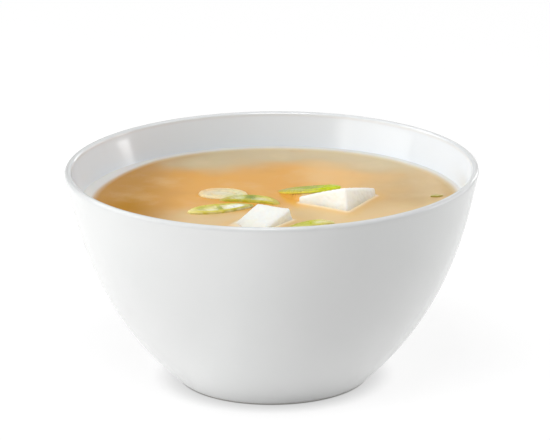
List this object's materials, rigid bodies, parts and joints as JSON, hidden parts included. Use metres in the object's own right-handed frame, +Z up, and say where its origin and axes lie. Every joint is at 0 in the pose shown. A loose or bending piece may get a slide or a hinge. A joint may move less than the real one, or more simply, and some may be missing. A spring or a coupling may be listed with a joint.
{
  "type": "bowl of miso soup",
  "caption": "Round white porcelain bowl filled near the brim with cloudy orange-tan miso soup, with cubes of silken tofu and bias-cut scallion slices at the surface.",
  "frame": {"origin": "on the table under the middle of the foot, on the bowl's axis", "axes": "+Z up along the bowl's axis, -Y towards the side the garnish is nearest"},
  "size_m": [0.14, 0.14, 0.074],
  "materials": {
    "porcelain": "smooth white glaze with soft wide reflections",
    "miso_broth": "wet, cloudy and slightly see-through, orange-tan with paler clouds",
    "tofu": "moist white curd with fine pores",
    "scallion_green": "wet yellow-green skin round paler flesh",
    "scallion_white": "wet, pale and slightly see-through flesh with a cream edge"
  },
  "bodies": {
    "root": {"bowl": "porcelain", "soup": "miso_broth", "tofu_right": "tofu", "tofu_front": "tofu", "scallion_on_tofu": "scallion_green", "scallion_left": "scallion_green", "scallion_middle": "scallion_green", "scallion_pale": "scallion_white", "scallion_front": "scallion_green"}
  },
  "joints": []
}
